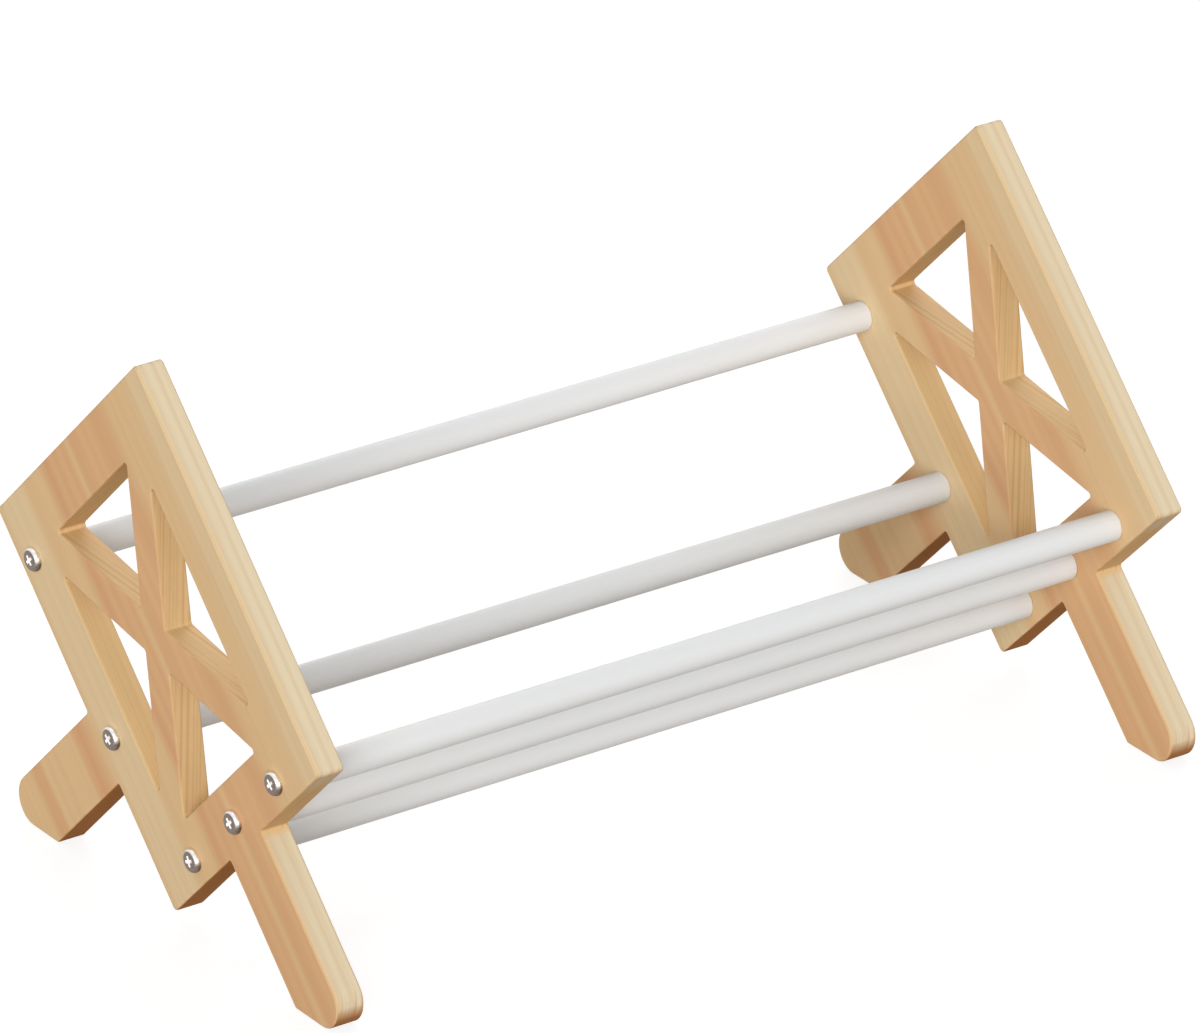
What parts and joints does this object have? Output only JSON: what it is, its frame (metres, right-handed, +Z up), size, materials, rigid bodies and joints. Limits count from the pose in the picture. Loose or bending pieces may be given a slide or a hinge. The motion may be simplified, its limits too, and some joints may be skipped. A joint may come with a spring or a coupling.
{
  "type": "desktop book rack",
  "caption": "Desktop book rack of two tilted pine side panels with cross-braced windows and legs, joined by white dowel rods that form a shelf and a back.",
  "frame": {"origin": "middle of the rack's footprint box, on the surface that it stands on", "axes": "+X along the rods to the right as seen from the front, +Y to the rear, +Z up; the books' spines face -Y and up"},
  "size_m": [0.4972, 0.2814, 0.2734],
  "materials": {
    "pine_board": "clear satin varnish on planed pine",
    "white_dowel": "opaque white satin lacquer on a wooden dowel",
    "screw_steel": "bright zinc plate"
  },
  "bodies": {
    "root": {"left_side_panel": "pine_board", "right_side_panel": "pine_board", "shelf_rod_rear": "white_dowel", "shelf_rod_middle": "white_dowel", "shelf_rod_front": "white_dowel", "back_rod_lower": "white_dowel", "back_rod_upper": "white_dowel", "left_screw_shelf_rod_rear": "screw_steel", "left_screw_shelf_rod_middle": "screw_steel", "left_screw_shelf_rod_front": "screw_steel", "left_screw_back_rod_lower": "screw_steel", "left_screw_back_rod_upper": "screw_steel", "right_screw_shelf_rod_rear": "screw_steel", "right_screw_shelf_rod_middle": "screw_steel", "right_screw_shelf_rod_front": "screw_steel", "right_screw_back_rod_lower": "screw_steel", "right_screw_back_rod_upper": "screw_steel"}
  },
  "joints": []
}
